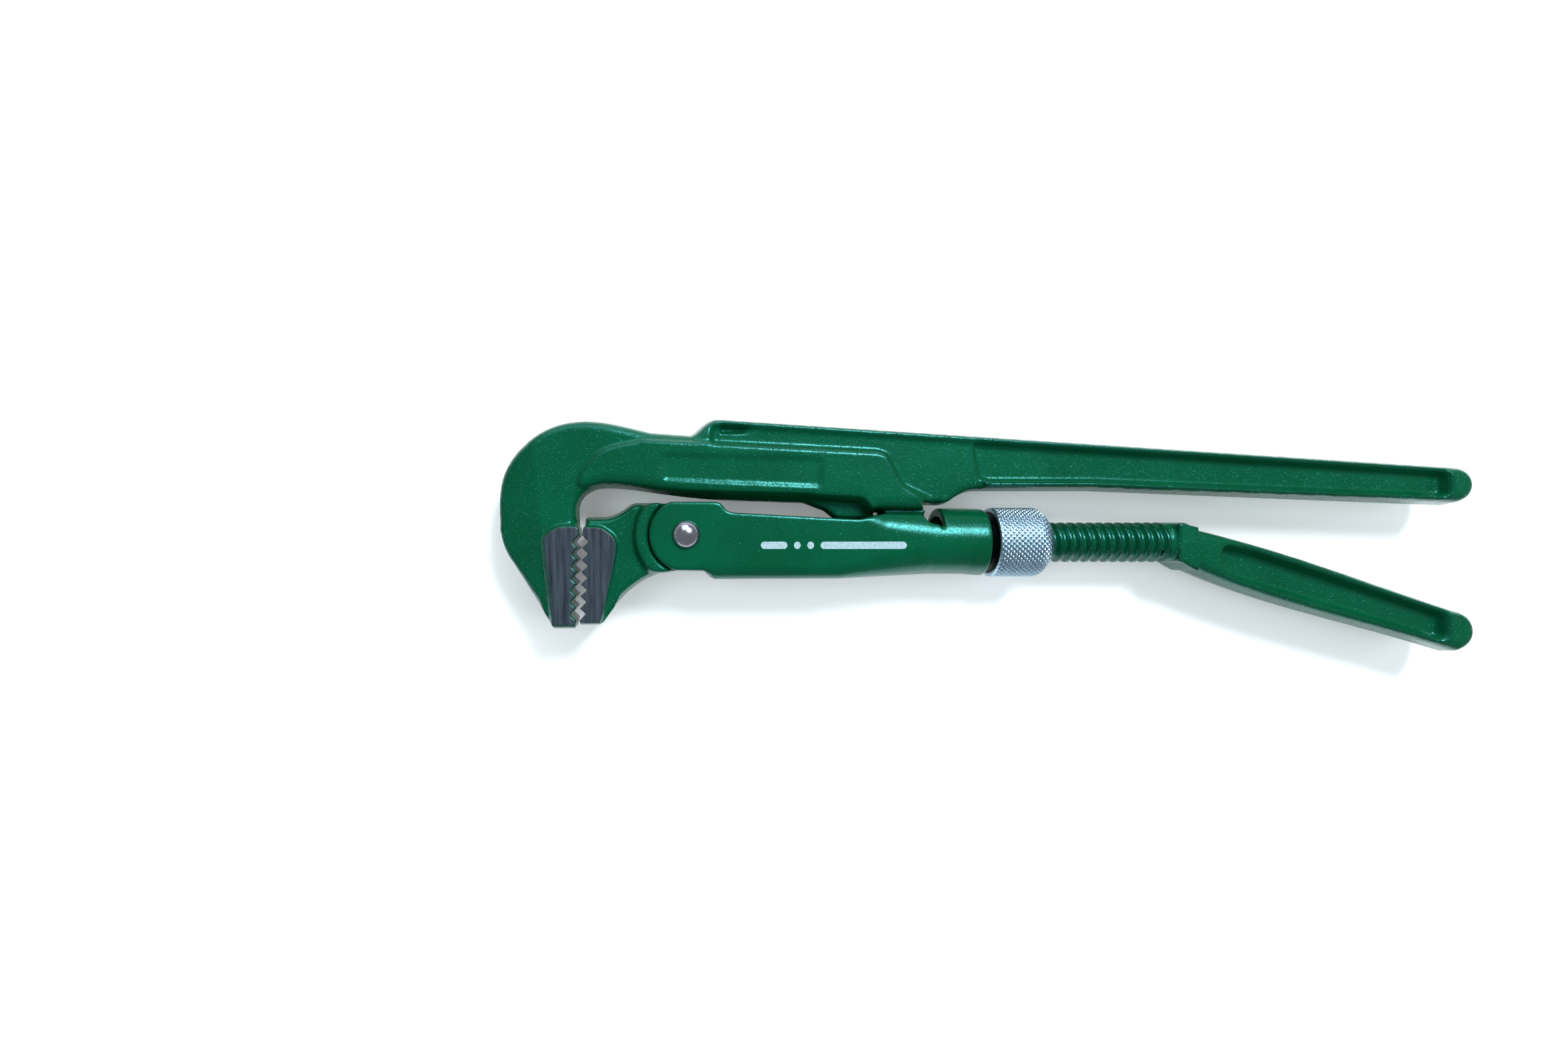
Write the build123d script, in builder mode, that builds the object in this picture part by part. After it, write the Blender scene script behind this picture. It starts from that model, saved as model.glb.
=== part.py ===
"""Swedish-pattern pipe wrench with jaws at 90 degrees to the handles.

Working frame, in millimetres: the screw's axis lies on X, the handles run towards +X,
the hook jaw is at -X, +Y is the side of the upper leg, and Z = 0 is the middle plane.
Every piece is moved at the end so that the origin is the centre of the box's underside.
"""
import os
from math import cos, radians, sin, sqrt

from build123d import *

# ---- driving sizes -------------------------------------------------------------
overall_length = 300.0
hook_reach = 58.3          # from X = 0, near the jaw's rivet, to the back of the hook
running_gap = 0.05         # radial clearance of pins and screw
free_gap = 0.3             # clearance between pieces that move past each other

screw_radius = 6.2
screw_pitch = 3.0
spigot_wall = 1.55         # the nut's neck inside the tube
tube_wall = 2.45
nut_radius = 10.75
nut_length = 17.4
neck_gap = 2.7             # neck seen between the tube and the knurl
tube_end_x = 92.2
window_end_x = 78.0
window_length = 4.6

jaw_half = 9.0             # half the width of the teeth
arm_half = 8.5
flange_half = 7.2
flange_wall = 2.7
recess_half = 5.2          # plain band between the arm and the top flange
web_half = 3.4
parting_half = 3.0         # rib left under the arm at the forging's parting line

rivet_radius = 3.0
rivet_head_radius = 4.35
rivet_head_height = 3.0
rivet_x = -0.5
rivet_y = 2.3

tooth_pitch = 3.68
tooth_depth = 2.05
tooth_count = 7

pin_radius = 2.5
fulcrum_x = 67.0
tongue_half = 2.0
claw_wall = 2.7
claw_gap = 0.1             # between the claws' corners and the tube's bore

spring_thickness = 0.7
spring_half_width = 4.0
spring_gap = 0.45          # from the spring's tip to the jaw's tail
spring_kick = 0.3          # how far the tip turns down past its bend
spring_rivet_x = 23.0
spring_rivet_radius = 1.5
spring_rivet_head = 2.6
spring_rivet_rise = 1.1
spring_rivet_sink = 0.3    # below the floor's underside

hook_tooth_x = -33.0       # tip of the uppermost tooth
hook_tooth_y = 2.0
hook_lean = 0.107          # each tooth stands this much further back than the one above
jaw_tooth_x = -31.9
jaw_tooth_y = 2.0
jaw_lean = 0.12
flank_grade = 0.34
flank_width = 22.0
flank_length = 80.0
panel_depth = 0.6
facet = 0.02               # the sleeve's skin is cut back by this much to flat sides

ear_radius = 11.26         # round left end of the sleeve's walls, about the rivet
ear_low = -8.65
ear_top = 12.3
floor_start = 7.4
channel_end = 52.0
window_low = 3.9
hub_radius = 10.9
band_radius = 15.7
band_half = 9.6
jaw_body_half = 7.2
tail_end = 13.0
tail_low = -3.0

tongue_radius = 5.8
shank_end = 156.0
thread_start = 79.0
thread_end = 148.0
thread_depth = 1.25
thread_root = 0.4          # how far the ridge is rooted in the core

ring_width = 1.4
ring_reach = 1.0           # how far the ring enters the tube's wall
ring_x = 85.6
ring_play = 0.1            # end play of the ring in the nut's groove
knurl_chamfer = 0.8
nut_dome = 5.0             # length of the nut's rounded outer end
nut_rim = 1.2              # flat rim left round the bore

# ---- sizes that follow ---------------------------------------------------------
nut_bore = screw_radius + running_gap
spigot_radius = nut_bore + spigot_wall
tube_bore = spigot_radius + running_gap
tube_radius = tube_bore + tube_wall
sleeve_half = tube_radius
channel_half = sleeve_half - tube_wall
leg_datum = tube_radius + 1.2          # underside of the boss above the tube
handle_end = overall_length - hook_reach
claw_inner = tongue_half + 0.2
ring_inner = spigot_radius - 0.7
claw_outer = claw_inner + claw_wall
claw_radius = sqrt((tube_bore - claw_gap) ** 2 - claw_outer ** 2)
shank_start = fulcrum_x + claw_radius + 1.5
slot_half = claw_outer + free_gap
rivet_place = (rivet_x, rivet_y)
knurl_x = tube_end_x + neck_gap
spigot_x = ring_x - 1.6
floor_outer = -(tube_radius + 1.1)     # underside of the channel at its front end
floor_inner = floor_outer + tube_wall
roll_top = leg_datum - 2.8             # the rolled-in walls stay under the lug
roll_end = 74.8


def up(y):
    """Height of a point of the upper leg, which rises with the tube's size."""
    return y - 11.5 + leg_datum


def through(half):
    """Extrude the pending sketch equally to both sides of the middle plane."""
    return extrude(amount=half, both=True)


def tooth_line(x_top, y_top, lean, direction):
    """Points down a row of teeth; direction is the side on which the valleys lie."""
    points = []
    for index in range(tooth_count):
        y_tip = y_top - index * tooth_pitch
        x_tip = x_top - lean * index
        points.append((x_tip, y_tip))
        points.append((x_tip + direction * tooth_depth - lean / 2, y_tip - tooth_pitch * 0.5))
    points.append((x_top - lean * tooth_count, y_top - tooth_count * tooth_pitch))
    return points


# ---- upper leg -----------------------------------------------------------------
flange_slope = -0.0655
flange_start = (10.0, 38.45)
lug_left = 56.4
lug_right = 73.4
lug_bottom = 9.3
heel_low = 7.0             # the rib under the arm reaches down between the sleeve's walls
grip_start = 125.0
grip_under = 15.97
end_radius = 6.0
under_slope = -0.040


def flange_top(x):
    return flange_start[1] + flange_slope * (x - flange_start[0])


def grip_bottom(x):
    return grip_under + under_slope * max(x - grip_start, 0)


def upper_outline():
    """The leg's silhouette at the parting line, without its teeth."""
    turn_x = handle_end - end_radius
    turn_top = (turn_x, up(flange_top(turn_x)))
    turn_low = (turn_x, up(grip_bottom(turn_x)))
    with BuildLine() as line:
        tip = Polyline((-33.75, up(-24.1)), (-34.2, up(-26.4)), (-40.6, up(-26.4)), (-53.2, up(-7.0)))
        back = [(-53.2, -7.0), (-57.1, 0.3), (-58.3, 10.0), (-57.0, 20.8), (-52.0, 28.9),
                (-41.9, 36.0), (-30.0, 37.9), (-19.4, 36.3), (-11.1, 34.3)]
        Spline([(x, up(y)) for x, y in back])
        Polyline((-11.1, up(34.3)), (-3.2, up(33.7)), (1.2, up(33.4)), (2.2, up(33.9)))
        step = [(2.2, 33.9), (4.7, 36.2), (7.4, 38.0), flange_start]
        Spline([(x, up(y)) for x, y in step])
        Line((flange_start[0], up(flange_start[1])), turn_top)
        ThreePointArc(turn_top, (handle_end, (turn_top[1] + turn_low[1]) / 2), turn_low)
        Polyline(turn_low, (grip_start, up(grip_under)), (92.0, up(grip_under)))
        boss = [(92.0, grip_under), (86.4, 15.3), (82.6, 13.2), (78.4, 11.5)]
        Spline([(x, up(y)) for x, y in boss], tangents=[(-1, 0), (-1, -0.1)])
        Polyline((78.4, up(11.5)), (lug_right - 1.0, up(11.5)), (lug_right - 1.0, up(10.1)),
                 (lug_left + 2.0, up(10.1)), (lug_left + 2.0, up(heel_low)),
                 (46.5, up(heel_low)), (43.0, up(9.8)),
                 (36.5, up(12.2)), (13.0, up(13.05)))
        throat = [(13.0, 13.05), (-9.0, 15.2), (-22.5, 16.8), (-29.2, 15.9), (-32.4, 13.2), (-33.3, 9.5)]
        Spline([(x, up(y)) for x, y in throat], tangents=[(-1, 0.04), (0, -1)])
        Line((-33.3, up(9.5)), (-33.0, up(2.0)))
        Line((-33.0, up(2.0)), (-33.75, up(-24.1)))
    return line.line


def arm_outline():
    """The raised arm, from its rounded nose to its slanted end above the lug."""
    with BuildLine() as line:
        nose = [(-33.0, 17.0), (-33.2, 19.3), (-30.0, 24.5), (-22.0, 29.3), (-13.6, 31.0), (-6.0, 31.0)]
        Spline([(x, up(y)) for x, y in nose], tangents=[(-0.5, 1), (1, -0.04)])
        Polyline((-6.0, up(31.0)), (58.4, up(27.6)), (61.0, up(26.6)), (66.0, up(17.5)),
                 (72.8, up(12.1)), (lug_right, up(10.4)), (lug_right, up(lug_bottom)),
                 (lug_left, up(lug_bottom)))
        heel = [(lug_left, lug_bottom), (54.8, 10.9), (52.9, 12.9)]
        Spline([(x, up(y)) for x, y in heel], tangents=[(-1, 0.15), (-1, 0.15)])
        Polyline((52.9, up(12.9)), (38.3, up(13.8)), (12.2, up(14.5)))
        under = [(12.2, 14.5), (-12.0, 15.7), (-23.0, 17.4), (-29.0, 16.9), (-33.0, 17.0)]
        Spline([(x, up(y)) for x, y in under], tangents=[(-1, 0.03), (-0.6, 0.4)])
    return line.line


def grind_outline():
    """The flat ground on the hook's side, in front of its teeth."""
    with BuildLine() as line:
        Polyline((-33.9, up(-25.6)), (-40.9, up(-25.6)), (-43.7, up(0.0)))
        Spline([(-43.7, up(0.0)), (-41.9, up(3.2)), (-37.0, up(4.8))], tangents=[(0, 1), (1, 0)])
        Polyline((-37.0, up(4.8)), (-33.0, up(4.8)), (-33.0, up(2.0)), (-33.9, up(-25.6)))
    return line.line


flank_low = Vector(-41.0, up(-24.7), 0)
flank_high = Vector(-47.9, up(30.0), 0)
flank_line = (flank_high - flank_low).normalized()
flank_plane = Plane(flank_low, x_dir=(-flank_line.Y, flank_line.X, 0), z_dir=flank_line)

with BuildPart() as upper_leg:
    with BuildSketch(Plane.XY):
        with BuildLine():
            add(upper_outline())
        make_face()
    through(flange_half)
    # below the arm only the parting rib stays, so that the underside has draft
    with BuildSketch(Plane.XY.offset(parting_half), Plane.XY.offset(-flange_half - 1)):
        with BuildLine():
            Polyline((12.2, up(14.5)), (38.3, up(13.8)), (52.9, up(12.9)), (54.8, up(10.9)),
                     (lug_left, up(lug_bottom)), (lug_left + 2.2, up(lug_bottom)),
                     (lug_left + 2.2, up(heel_low - 1)), (-12.0, up(heel_low - 1)),
                     (-12.0, up(15.7)), close=True)
        make_face()
    extrude(amount=flange_half + 1 - parting_half, mode=Mode.SUBTRACT)
    # plain band between the arm and the top flange
    with BuildSketch(Plane.XY.offset(recess_half), Plane.XY.offset(-flange_half - 1)):
        with BuildLine():
            recess_top = flange_top(91.0) - flange_wall + 0.2
            Polyline((7.5, up(26.0)), (7.5, up(35.0)), (10.5, up(36.0)), (91.0, up(recess_top)),
                     (91.0, up(16.8)), (77.0, up(12.2)), (60.0, up(20.0)), close=True)
        make_face()
    extrude(amount=flange_half + 1 - recess_half, mode=Mode.SUBTRACT)
    # I-section of the grip
    with BuildSketch(Plane.XY.offset(web_half), Plane.XY.offset(-flange_half - 1)) as pocket:
        with BuildLine():
            pocket_end = handle_end - 9.0
            pocket_low = grip_under + flange_wall
            Polyline((92.5, up(pocket_low)), (90.0, up(pocket_low + 1.3)),
                     (88.0, up(flange_top(88.0) - flange_wall)),
                     (pocket_end, up(flange_top(pocket_end) - flange_wall)),
                     (pocket_end, up(grip_bottom(pocket_end) + flange_wall)),
                     (grip_start, up(pocket_low)), close=True)
        make_face()
        fillet(pocket.vertices(), radius=1.2)
    extrude(amount=flange_half + 1 - web_half, mode=Mode.SUBTRACT)
    with BuildSketch(Plane.XY):
        with BuildLine():
            add(arm_outline())
        make_face()
    through(arm_half)
    with BuildSketch(Plane.XY):
        with BuildLine():
            add(grind_outline())
        make_face()
    through(jaw_half)
    # sloping flank behind the jaw: a wedge cut along the line where the slope starts
    with BuildSketch(flank_plane):
        with BuildLine():
            Polyline((0, flange_half), (flank_width, flange_half - flank_width * flank_grade),
                     (flank_width, jaw_half + 1), (0, jaw_half + 1), close=True)
        make_face()
        mirror(about=Plane.XZ)
    extrude(amount=flank_length, both=True, mode=Mode.SUBTRACT)
    # teeth
    with BuildSketch(Plane.XY):
        with BuildLine():
            teeth = tooth_line(hook_tooth_x, hook_tooth_y, hook_lean, -1)
            Polyline(*[(x, up(y)) for x, y in teeth], (-30.0, up(teeth[-1][1])),
                     (-30.0, up(hook_tooth_y)), close=True)
        make_face()
    extrude(amount=jaw_half + 1, both=True, mode=Mode.SUBTRACT)
    # shallow panel in both faces of the arm
    with BuildSketch(Plane.XY.offset(arm_half - panel_depth), Plane.XY.offset(-arm_half - 1)) as panel:
        with BuildLine():
            Polyline((-7.3, up(18.9)), (40.6, up(16.9)), (40.6, up(25.4)), (-7.3, up(26.6)), close=True)
        make_face()
        fillet(panel.vertices(), radius=0.8)
    extrude(amount=panel_depth + 1, mode=Mode.SUBTRACT)
    # two claws reach down through the sleeve's slot to the fulcrum pin
    with BuildSketch(Plane.XY.offset(claw_inner), Plane.XY.offset(-claw_outer)):
        with Locations((fulcrum_x, 0)):
            Circle(claw_radius)
        with Locations((fulcrum_x, up(lug_bottom + 1) / 2)):
            Rectangle(2 * claw_radius, up(lug_bottom + 1))
    extrude(amount=claw_wall)
    with Locations((fulcrum_x, 0, 0)):
        Cylinder(pin_radius, 2 * claw_outer + 1, mode=Mode.SUBTRACT)

# ---- fulcrum pin ---------------------------------------------------------------
with BuildPart() as fulcrum_pin:
    with Locations((fulcrum_x, 0, 0)):
        Cylinder(pin_radius, 2 * claw_outer)
    chamfer(fulcrum_pin.edges().filter_by(GeomType.CIRCLE), length=0.4)

# ---- lower leg -----------------------------------------------------------------
grip_top_line = [(152.0, 5.6), (172.0, 0.4), (handle_end - end_radius, -20.5)]
grip_low_line = [(handle_end - end_radius, -34.0), (166.0, -13.2), (152.0, -6.6)]

with BuildPart() as lower_leg:
    with BuildSketch(Plane.XY):
        with Locations((fulcrum_x, 0)):
            Circle(tongue_radius)
        with Locations(((fulcrum_x + shank_start + 1) / 2, 0)):
            Rectangle(shank_start + 1 - fulcrum_x, 2 * tongue_radius)
    through(tongue_half)
    with BuildSketch(Plane.YZ.offset(shank_start)):
        Circle(screw_radius)
    extrude(amount=thread_start - shank_start)
    with BuildSketch(Plane.YZ.offset(thread_end)):
        Circle(screw_radius)
    extrude(amount=shank_end - thread_end)
    with BuildSketch(Plane.YZ.offset(thread_start)):
        Circle(screw_radius - thread_depth)
    extrude(amount=thread_end - thread_start)
    with BuildSketch(Plane.XY):
        with BuildLine():
            Spline((shank_end - 6.0, 5.9), *grip_top_line, tangents=[(1, 0), (1, -0.33)])
            ThreePointArc(grip_top_line[-1], (handle_end, -27.6), grip_low_line[0])
            Spline(*grip_low_line, (shank_end - 6.0, -5.9), tangents=[(-1, 0.33), (-1, 0)])
            Line((shank_end - 6.0, -5.9), (shank_end - 6.0, 5.9))
        make_face()
    through(flange_half)
    with BuildSketch(Plane.XY.offset(web_half), Plane.XY.offset(-flange_half - 1)) as hollow:
        with BuildLine():
            Polyline((164.0, -1.2), (173.0, -3.0), (handle_end - 10.0, -22.2),
                     (handle_end - 10.0, -29.8), (168.5, -11.0), (164.0, -8.6), close=True)
        make_face()
        fillet(hollow.vertices(), radius=1.2)
    extrude(amount=flange_half + 1 - web_half, mode=Mode.SUBTRACT)
    with Locations((fulcrum_x, 0, 0)):
        Cylinder(pin_radius + running_gap, 2 * tongue_half + 1, mode=Mode.SUBTRACT)
    # right-hand trapezoidal thread, one helical ridge rooted in the core
    with BuildLine() as helix:
        Helix(pitch=screw_pitch, height=thread_end - thread_start,
              radius=screw_radius - thread_depth - thread_root,
              center=(thread_start, 0, 0), direction=(1, 0, 0))
    with BuildSketch(Plane(helix.line @ 0, x_dir=(1, 0, 0), z_dir=helix.line % 0)):
        Trapezoid(0.72 * screw_pitch, thread_depth + thread_root, 74, align=(Align.CENTER, Align.MIN))
    sweep(path=helix.line, is_frenet=True)

# ---- sleeve --------------------------------------------------------------------
# (x, underside, top, corner radius) of the outer skin: a channel that turns into a tube
skin = [(-16.0, floor_outer, 16.0, 4.0), (46.0, floor_outer + 0.3, 14.0, 4.0),
        (60.0, -tube_radius - 0.2, tube_radius + 0.3, 0.72 * tube_radius),
        (75.0, -tube_radius + 0.45, tube_radius + 0.4, 0.985 * tube_radius),
        (84.0, -tube_radius + 0.45, tube_radius + 0.3, 0.985 * tube_radius),
        (tube_end_x, -tube_radius - 0.05, tube_radius + 0.1, 0.99 * tube_radius)]


def side_outline():
    """Side view of the sleeve: round left ends, stepped walls and the rise of the tube."""
    left_top = (rivet_x - 0.604 * ear_radius, rivet_y + 0.797 * ear_radius)
    left_low = (rivet_x - 0.454 * ear_radius, rivet_y - 0.891 * ear_radius)
    with BuildLine() as line:
        ThreePointArc(left_top, (rivet_x - ear_radius, rivet_y), left_low)
        Polyline(left_low, (-4.0, ear_low + 0.15), (5.0, ear_low), (6.6, ear_low - 0.9),
                 (8.7, floor_outer - 1), (tube_end_x, floor_outer - 1), (tube_end_x, leg_datum + 4),
                 (roll_end, leg_datum + 4), (roll_end, roll_top), (60.0, roll_top), (52.0, 7.0),
                 (40.8, 7.5), (13.6, 9.05),
                 (11.8, 9.6), (9.9, 11.9), (8.4, ear_top), (-5.2, ear_top), left_top)
    return line.line


with BuildPart() as sleeve:
    for x, low, high, corner in skin:
        with BuildSketch(Plane.YZ.offset(x)):
            with Locations(((low + high) / 2, 0)):
                RectangleRounded(high - low, 2 * (sleeve_half + facet), min(corner, 0.497 * (high - low)))
    loft(ruled=True)
    with BuildSketch(Plane.XY):
        with BuildLine():
            add(side_outline())
        make_face()
    extrude(amount=sleeve_half, both=True, mode=Mode.INTERSECT)
    # channel between the walls, open on top, with a floor behind the jaw's hub
    with BuildSketch(Plane.XY):
        with BuildLine():
            Polyline((-20.0, floor_outer - 2), (floor_start, floor_outer - 2), (floor_start, floor_inner),
                     (channel_end, floor_inner), (channel_end, leg_datum + 5),
                     (-20.0, leg_datum + 5), close=True)
        make_face()
    extrude(amount=channel_half, both=True, mode=Mode.SUBTRACT)
    # bore of the tube
    with BuildSketch(Plane.YZ.offset(channel_end - 1)):
        Circle(tube_bore)
    extrude(amount=tube_end_x - channel_end + 2, mode=Mode.SUBTRACT)
    # slot that lets the claws through
    with BuildSketch(Plane.XY):
        with Locations(((channel_end - 1 + window_end_x) / 2, leg_datum / 2 + 2)):
            Rectangle(window_end_x - channel_end + 1, leg_datum + 4)
    extrude(amount=slot_half, both=True, mode=Mode.SUBTRACT)
    # window across the tube
    with BuildSketch(Plane.XY) as window:
        with BuildLine():
            Polyline((window_end_x, window_low), (window_end_x, leg_datum + 5),
                     (window_end_x - window_length - 2.4, leg_datum + 5),
                     (window_end_x - window_length - 1.4, window_low + 4.6),
                     (window_end_x - window_length, window_low + 2.2),
                     (window_end_x - 1.6, window_low + 1.4), close=True)
        make_face()
    extrude(amount=sleeve_half + 1, both=True, mode=Mode.SUBTRACT)
    with Locations((*rivet_place, 0)):
        Cylinder(rivet_radius, 2 * sleeve_half + 2, mode=Mode.SUBTRACT)
    with Locations((spring_rivet_x, floor_outer, 0)):
        Cylinder(spring_rivet_radius, 12, rotation=(90, 0, 0), mode=Mode.SUBTRACT)
    with BuildSketch(Plane.YZ.offset(ring_x)):
        Circle(tube_bore + ring_reach + running_gap)
    extrude(amount=ring_width, mode=Mode.SUBTRACT)

# ---- lower jaw -----------------------------------------------------------------
jaw_top = 7.9
jaw_bottom = -25.3
jaw_teeth = tooth_line(jaw_tooth_x, up(jaw_tooth_y), jaw_lean, 1)


def jaw_outline():
    """The jaw's silhouette with its teeth, ending in the hub between the sleeve's walls."""
    with BuildLine() as line:
        Polyline((-27.2, jaw_bottom), (jaw_teeth[-1][0], jaw_bottom), *reversed(jaw_teeth),
                 (-31.5, 7.2), (-30.8, jaw_top), (-25.7, jaw_top))
        shoulder = [(-25.7, jaw_top), (-21.4, 9.0), (-18.2, 11.1), (-15.4, 12.3)]
        Spline(*shoulder, tangents=[(1, 0), (1, 0.1)])
        hub_top = (rivet_x, rivet_y + hub_radius - 1.3)
        Polyline((-15.4, 12.3), (-11.0, 12.3), (-8.0, hub_top[1]), hub_top,
                 (rivet_x, rivet_y - hub_radius))
        belly = [(rivet_x, rivet_y - hub_radius), (-10.6, -10.5), (-15.7, -13.5),
                 (-21.5, -19.0), (-24.6, -23.2), (-27.2, jaw_bottom)]
        Spline(*belly, tangents=[(-1, 0), (-0.9, -0.3)])
    return line.line


with BuildPart() as lower_jaw:
    with BuildSketch(Plane.XY):
        with BuildLine():
            add(jaw_outline())
        make_face()
        with Locations((rivet_x, rivet_y)):
            Circle(hub_radius - 1.3)
        with BuildLine():
            Polyline((rivet_x, 7.5), (tail_end, 5.5), (tail_end, tail_low), (6.0, tail_low),
                     (rivet_x, -5.0), close=True)
        make_face()
    through(jaw_body_half)
    with BuildSketch(Plane.XY):
        with BuildLine():
            add(jaw_outline())
        make_face()
        with Locations((rivet_x, rivet_y)):
            Circle(band_radius, mode=Mode.INTERSECT)
            Circle(ear_radius + free_gap, mode=Mode.SUBTRACT)
        with Locations((20, 0)):
            Rectangle(40, 60, mode=Mode.SUBTRACT)
    through(band_half)
    with BuildSketch(Plane.XY) as ground:
        with BuildLine():
            add(jaw_outline())
        make_face()
        with BuildLine():
            Polyline((-33.0, -24.6), (-26.6, -24.6), (-25.1, -18.5), (-23.0, -9.2), (-21.7, -2.0))
            Spline((-21.7, -2.0), (-22.7, 1.5), (-25.2, 3.6), (-28.6, 4.5), tangents=[(0, 1), (-1, 0)])
            Polyline((-28.6, 4.5), (-33.0, 4.5), (-33.0, -24.6))
        make_face(mode=Mode.INTERSECT)
    through(jaw_half)
    with Locations((*rivet_place, 0)):
        Cylinder(rivet_radius + running_gap, 2 * jaw_half + 2, mode=Mode.SUBTRACT)

# ---- jaw rivet -----------------------------------------------------------------
dome_radius = (rivet_head_radius ** 2 + rivet_head_height ** 2) / (2 * rivet_head_height)

with BuildPart() as jaw_rivet:
    with BuildSketch(Plane.XZ):
        with BuildLine():
            rim = (rivet_head_radius, sleeve_half)
            Polyline((0, 0), (rivet_radius, 0), (rivet_radius, sleeve_half), rim)
            crown = sleeve_half + rivet_head_height
            middle = dome_radius * sin(radians(35))
            ThreePointArc(rim, (middle, crown - dome_radius + dome_radius * cos(radians(35))), (0, crown))
            Line((0, crown), (0, 0))
        make_face()
    revolve(axis=Axis.Z)
    mirror(about=Plane.XY)

# ---- knurled nut ---------------------------------------------------------------
with BuildPart() as knurled_nut:
    with BuildSketch(Plane.XY):
        with BuildLine():
            end = knurl_x + nut_length
            groove = (ring_x - ring_play, ring_x + ring_width + ring_play)
            groove_radius = ring_inner - running_gap
            Polyline((spigot_x, nut_bore), (spigot_x, spigot_radius), (groove[0], spigot_radius),
                     (groove[0], groove_radius), (groove[1], groove_radius),
                     (groove[1], spigot_radius), (knurl_x, spigot_radius),
                     (knurl_x, nut_radius - 1.0), (knurl_x + knurl_chamfer, nut_radius),
                     (end - nut_dome, nut_radius))
            shoulder_drop = 0.41 * (nut_radius - nut_bore - nut_rim)
            ThreePointArc((end - nut_dome, nut_radius), (end - 0.31 * nut_dome, nut_radius - shoulder_drop),
                          (end, nut_bore + nut_rim))
            Polyline((end, nut_bore + nut_rim), (end, nut_bore), (spigot_x, nut_bore))
        make_face()
    revolve(axis=Axis.X)

# ---- retaining ring ------------------------------------------------------------
with BuildPart() as nut_retaining_ring:
    with BuildSketch(Plane.YZ.offset(ring_x)):
        Circle(tube_bore + ring_reach)
        Circle(ring_inner, mode=Mode.SUBTRACT)
        with Locations((-tube_bore, 0)):
            Rectangle(4 * ring_reach, 2.0, mode=Mode.SUBTRACT)
    extrude(amount=ring_width)

# ---- leaf spring and its rivet -------------------------------------------------
with BuildPart() as jaw_spring:
    with BuildSketch(Plane.XY):
        with BuildLine():
            foot_top = floor_inner + spring_thickness
            tip_top = tail_low - spring_gap
            Polyline((spring_rivet_x + 4, floor_inner), (spring_rivet_x + 4, foot_top),
                     (spring_rivet_x - 3.2, foot_top), (10.2, tip_top), (7.6, tip_top - spring_kick),
                     (7.7, tip_top - spring_kick - spring_thickness), (10.3, tip_top - spring_thickness),
                     (spring_rivet_x - 3.2, floor_inner), close=True)
        make_face()
    through(spring_half_width)
    with Locations((spring_rivet_x, floor_inner, 0)):
        Cylinder(spring_rivet_radius, 6, rotation=(90, 0, 0), mode=Mode.SUBTRACT)

with BuildPart() as spring_rivet:
    rivet_base = Plane((spring_rivet_x, floor_outer + spring_rivet_sink, 0), z_dir=(0, 1, 0))
    head_height = floor_inner + spring_thickness - floor_outer - spring_rivet_sink
    with BuildSketch(rivet_base):
        Circle(spring_rivet_radius)
    extrude(amount=head_height)
    with BuildSketch(rivet_base.offset(head_height)):
        Circle(spring_rivet_head)
    extrude(amount=spring_rivet_rise)
    fillet(spring_rivet.edges().sort_by(Axis.Y)[-1], radius=0.7 * spring_rivet_rise)

# ---- placing and writing -------------------------------------------------------
pieces = {
    "upper_leg": upper_leg.part,
    "fulcrum_pin": fulcrum_pin.part,
    "lower_leg": lower_leg.part,
    "sleeve": sleeve.part,
    "lower_jaw": lower_jaw.part,
    "jaw_rivet": jaw_rivet.part.moved(Location((*rivet_place, 0))),
    "knurled_nut": knurled_nut.part,
    "nut_retaining_ring": nut_retaining_ring.part,
    "jaw_spring": jaw_spring.part,
    "spring_rivet": spring_rivet.part,
}
boxes = [piece.bounding_box() for piece in pieces.values()]
low = [min(getattr(box.min, axis) for box in boxes) for axis in "XYZ"]
high = [max(getattr(box.max, axis) for box in boxes) for axis in "XYZ"]
to_base = Location((-(low[0] + high[0]) / 2, -(low[1] + high[1]) / 2, -low[2]))

os.makedirs("parts", exist_ok=True)
for name, piece in pieces.items():
    placed = piece.moved(to_base)
    placed.label = name
    export_step(placed, f"parts/{name}.step")
print("moved by", to_base.position)
print("overall", [round(b - a, 2) for a, b in zip(low, high)])
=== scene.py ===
"""Looks of the Swedish-pattern pipe wrench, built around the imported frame.

The painted forgings are rebuilt from their CAD nodes as fields of signed distances: side walls get
forging draft, steps between levels get soft slopes, and the ground flats and teeth stay crisp.
All lengths are in metres unless a name ends in _MM.
"""
import math

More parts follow.
